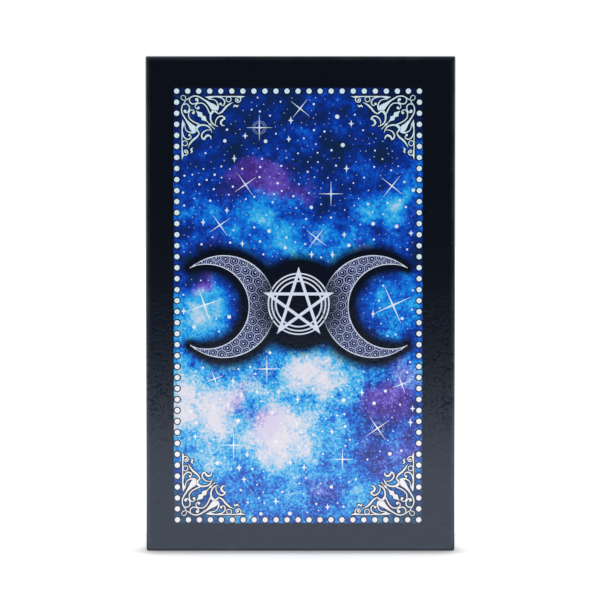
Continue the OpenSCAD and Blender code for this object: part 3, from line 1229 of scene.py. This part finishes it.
# Screen colours of the sky and of the sign on the faces of each kind of card.
CARD_LOOKS = {
    "major": ((46, 78, 172), (236, 178, 56)),
    "wands": ((206, 92, 40), (122, 74, 36)),
    "cups": ((30, 122, 190), (232, 186, 84)),
    "swords": ((84, 112, 158), (214, 222, 232)),
    "pentacles": ((62, 128, 58), (236, 188, 66)),
}


class TAROT_OT_cards(bpy.types.Operator):
    """Prints the backs and faces of the cards"""

    bl_idname = "tarot.cards"
    bl_label = "Cards"

    def execute(self, context):
        look = context.scene.tarot_deck
        middle, half = face_of("major_00")
        for suit, (sky, mark) in CARD_LOOKS.items():
            material, paint = new_paint("card_" + suit)
            here = paint.place()
            x, z = paint.flat(here, middle)
            turned = paint.split(paint.node("ShaderNodeTexCoord", out="Normal"))[1]
            pulp = paint.noise(here, 3.0, 3, 0.6, 2).fade(0.3, 0.7)
            core = paint.mix(pulp, tone(214, 210, 200), look.stock)
            back = card_back(paint, look, x, z, half)
            face = card_face(paint, look, suit, sky, mark, x, z, half)
            shade = paint.mix(turned.fade(-0.6, -0.7), core, back)
            shade = paint.mix(turned.fade(0.6, 0.7), shade, face)
            linen = x.wave(0.8) + z.wave(0.8)
            surface(paint, shade, 0.42, linen * 0.012, specular_ior_level=0.35)
            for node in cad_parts:
                if node.startswith(suit + "_"):
                    dress(node, material)
        return {"FINISHED"}


class TAROT_OT_guidebook(bpy.types.Operator):
    """Prints the guidebook's cover and colours its sheets and staples"""

    bl_idname = "tarot.guidebook"
    bl_label = "Guidebook"

    def execute(self, context):
        look = context.scene.tarot_deck
        middle, half = face_of("guidebook_cover")
        cover, paint = new_paint("book_cover")
        here = paint.place()
        x, z = paint.flat(here, middle)
        edge = edge_gap(x, z, half)
        silver = edge.line(4.0, 0.35).most(edge.line(5.4, 0.14, 0.06))
        away = paint.reach(x, z)
        crescent = (away - 11.0).most(9.0 - paint.reach(x - 3.4, z))
        silver = silver.most(crescent.below(0.0, 0.1)).most(away.line(15.5, 0.22))
        rays = (away - (paint.petals(x, z, 16) * 1.6 + 19.0)).most(17.2 - away)
        silver = silver.most(rays.below(0.0, 0.1))
        cloud = paint.noise(here, 0.05, 6, 0.6, 5).fade(0.35, 0.7)
        shade = paint.mix(silver, paint.mix(cloud, look.cover, tone(38, 64, 138)), look.silver)
        laid = paint.noise(here, 2.0, 3, 0.6, 6)
        surface(paint, shade, 0.36 + laid * 0.12, laid * 0.008)
        dress("guidebook_cover", cover)
        paper, paint = new_paint("book_paper")
        here = paint.place()
        fibre = paint.noise(here, 2.4, 4, 0.65, 9)
        shade = paint.mix(fibre.fade(0.3, 0.7), tone(214, 206, 186), look.paper)
        surface(paint, shade, 0.85, fibre * 0.01)
        dress("guidebook_sheets", paper)
        wire, paint = new_paint("staple_wire")
        here = paint.place()
        drawn = paint.noise(here, 3.5, 3, 0.6, 10)
        surface(paint, look.wire, 0.26 + drawn * 0.16, drawn * 0.004, metallic=1.0)
        dress("guidebook_staples", wire)
        return {"FINISHED"}


# The stage, in metres, degrees and watts.
CAMERA_AWAY = 0.7
CAMERA_HEIGHT = 0.0962
CAMERA_SIDE = -0.00013
CAMERA_TILT = 2.33
CAMERA_LENS = 156.5
FILL_LIGHT = 0.85
LAMP_HEIGHT = 1.2
LAMP_BEHIND = 0.026
LAMP_WIDTH = 0.06
LAMP_POWER = 7.0
FLOOR_REACH = 4
FLOOR_DROP = 2e-5
FLOOR_WHITE = (0.86, 0.86, 0.86, 1)
DARK_CARD_AWAY = 1.3
DARK_CARD_LEFT, DARK_CARD_RIGHT = -0.9, 1.2
DARK_CARD_TOP = 1.2
# How the floor's reflection fades away from the box: distances in millimetres, the curve, and its colour.
MIRROR_DARK, MIRROR_BRIGHT = 1150.0, 190.0
MIRROR_CURVE = 2.1
MIRROR_LEVEL = 1.28
MIRROR_TINT = (0.87, 0.9, 1, 1)


def plane(name, corners, material):
    """A flat part of the stage."""
    mesh = bpy.data.meshes.new(name)
    mesh.from_pydata(corners, [], [(0, 1, 2, 3)])
    mesh.materials.append(material)
    piece = bpy.data.objects.new(name, mesh)
    bpy.context.scene.collection.objects.link(piece)
    return piece


class TAROT_OT_stage(bpy.types.Operator):
    """Sets the white floor, the light and the camera"""

    bl_idname = "tarot.stage"
    bl_label = "Stage"

    def execute(self, context):
        scene = context.scene
        scene.view_settings.view_transform = "Standard"
        self.floor()
        self.flag()
        self.world(scene)
        self.lamp(scene)
        lens = bpy.data.cameras.new("camera")
        lens.lens = CAMERA_LENS
        lens.sensor_width = 36
        lens.clip_start = 0.01
        camera = bpy.data.objects.new("camera", lens)
        camera.location = (CAMERA_SIDE, FRONT - CAMERA_AWAY, CAMERA_HEIGHT)
        camera.rotation_euler = (math.radians(90 - CAMERA_TILT), 0, 0)
        scene.collection.objects.link(camera)
        scene.camera = camera
        return {"FINISHED"}

    def floor(self):
        """White paper that keeps the shadow in front of the box. To the camera it glows, least near the
        front of the box and more beside it: painted light that thins the shadow at its sides. A reflection
        of it darkens away from the front of the box, with a painted shadow at its foot.
        """
        material, paint = new_paint("floor_paper")
        paint.tree.nodes.remove(paint.tree.nodes["Principled BSDF"])
        x, y, _ = paint.split(paint.place())
        ahead = FRONT / MM - y
        level = ahead.fade(MIRROR_DARK, MIRROR_BRIGHT) ** MIRROR_CURVE
        # Painted shadow: the floor seen in reflections is darker at the foot of the box.
        foot = ahead.fade(-1.0, 7.0) * 0.75 + 0.25
        past = abs(x) - LID_HIGH.x / MM
        away = paint.reach(past.most(0.0), (abs(y) + FRONT / MM).most(0.0))
        ray = paint.node("ShaderNodeLightPath")
        beside = past.fade(-3.0, 2.5)
        deep = abs(y).fade(LID_HIGH.y / MM + 4.0, LID_HIGH.y / MM - 12.0)
        # Painted light: to the camera the floor glows, less near the front of the box, more beside it and
        # along its depth.
        lift = ray.twin("Is Camera Ray") * (away.fade(4.0, 80.0) * 0.46).most(beside * (deep * 0.34 + 0.26))
        white = paint.node("ShaderNodeBsdfDiffuse", {}, {"Color": FLOOR_WHITE})
        bright = paint.node("ShaderNodeEmission", {}, {"Strength": lift})
        paper = paint.node("ShaderNodeAddShader", {}, {0: white, 1: bright})
        shine = {"Color": MIRROR_TINT, "Strength": level * foot * MIRROR_LEVEL}
        mirror = paint.node("ShaderNodeEmission", {}, shine)
        both = paint.node("ShaderNodeMixShader", {}, {0: ray.twin("Is Glossy Ray"), 1: paper, 2: mirror})
        paint.tree.links.new(both.socket, paint.tree.nodes["Material Output"].inputs["Surface"])
        far = FLOOR_REACH
        corners = [(x, y, -FLOOR_DROP) for x, y in ((-far, -far), (far, -far), (far, far), (-far, far))]
        plane("floor", corners, material)

    def flag(self):
        """A dark card far in front, seen only by reflections, like the unlit end of a studio."""
        material, paint = new_paint("dark_card")
        surface(paint, (0, 0, 0, 1), 1.0, ior=1.0)
        y = FRONT - DARK_CARD_AWAY
        left, right, top = DARK_CARD_LEFT, DARK_CARD_RIGHT, DARK_CARD_TOP
        card = plane("dark_card", [(left, y, 0), (right, y, 0), (right, y, top), (left, y, top)], material)
        card.visible_camera = False
        card.visible_diffuse = False
        card.visible_shadow = False
        card.visible_transmission = False

    def world(self, scene):
        """White to the camera and in reflections, a plain level as light."""
        scene.world = bpy.data.worlds.new("studio")
        scene.world.use_nodes = True
        paint = Paint(scene.world.node_tree)
        seen = paint.node("ShaderNodeLightPath")
        shown = seen.twin("Is Camera Ray").most(seen.twin("Is Glossy Ray"))
        shown = shown.most(seen.twin("Is Transmission Ray"))
        back = paint.tree.nodes["Background"]
        back.inputs["Color"].default_value = (1, 1, 1, 1)
        paint.tree.links.new((FILL_LIGHT + shown * (1 - FILL_LIGHT)).socket, back.inputs["Strength"])

    def lamp(self, scene):
        """A soft lamp overhead, a little behind, for the short shadow at the foot of the box."""
        light = bpy.data.lights.new("overhead", "AREA")
        light.energy = LAMP_POWER
        light.size = LAMP_WIDTH
        lamp = bpy.data.objects.new("overhead", light)
        lamp.location = (0, LAMP_BEHIND, LAMP_HEIGHT)
        lamp.visible_glossy = False
        scene.collection.objects.link(lamp)


OPERATORS = (
    TAROT_OT_stage,
    TAROT_OT_lid_shell,
    TAROT_OT_front_sheet,
    TAROT_OT_bead_border,
    TAROT_OT_corner_scrolls,
    TAROT_OT_moons,
    TAROT_OT_pentacle,
    TAROT_OT_stars,
    TAROT_OT_base_shell,
    TAROT_OT_boards,
    TAROT_OT_cards,
    TAROT_OT_guidebook,
)


class TAROT_PT_sidebar(bpy.types.Panel):
    """The steps that dress the box, and what can be changed"""

    bl_idname = "TAROT_PT_sidebar"
    bl_label = "Boxed tarot deck"
    bl_space_type = "VIEW_3D"
    bl_region_type = "UI"
    bl_category = "Tarot"

    def draw(self, context):
        for kind in OPERATORS:
            self.layout.operator(kind.bl_idname)
        for name, kind in GROUPS.items():
            for key in kind.__annotations__:
                self.layout.prop(getattr(context.scene, name), key)


GROUPS = {"tarot_print": PrintLayout, "tarot_box": BoxLooks, "tarot_deck": DeckLooks}
CLASSES = (*GROUPS.values(), *OPERATORS, TAROT_PT_sidebar)


def register():
    """Adds the classes, and the settings to the scene."""
    for kind in CLASSES:
        bpy.utils.register_class(kind)
    for key, kind in GROUPS.items():
        setattr(bpy.types.Scene, key, bpy.props.PointerProperty(type=kind))


def unregister():
    """Takes the settings and the classes away again."""
    for key in GROUPS:
        delattr(bpy.types.Scene, key)
    for kind in reversed(CLASSES):
        bpy.utils.unregister_class(kind)


def main():
    """Builds everything in order."""
    register()
    for kind in OPERATORS:
        step = kind.bl_idname.split(".")[1]
        getattr(bpy.ops.tarot, step)()


if __name__ == "__main__":
    main()
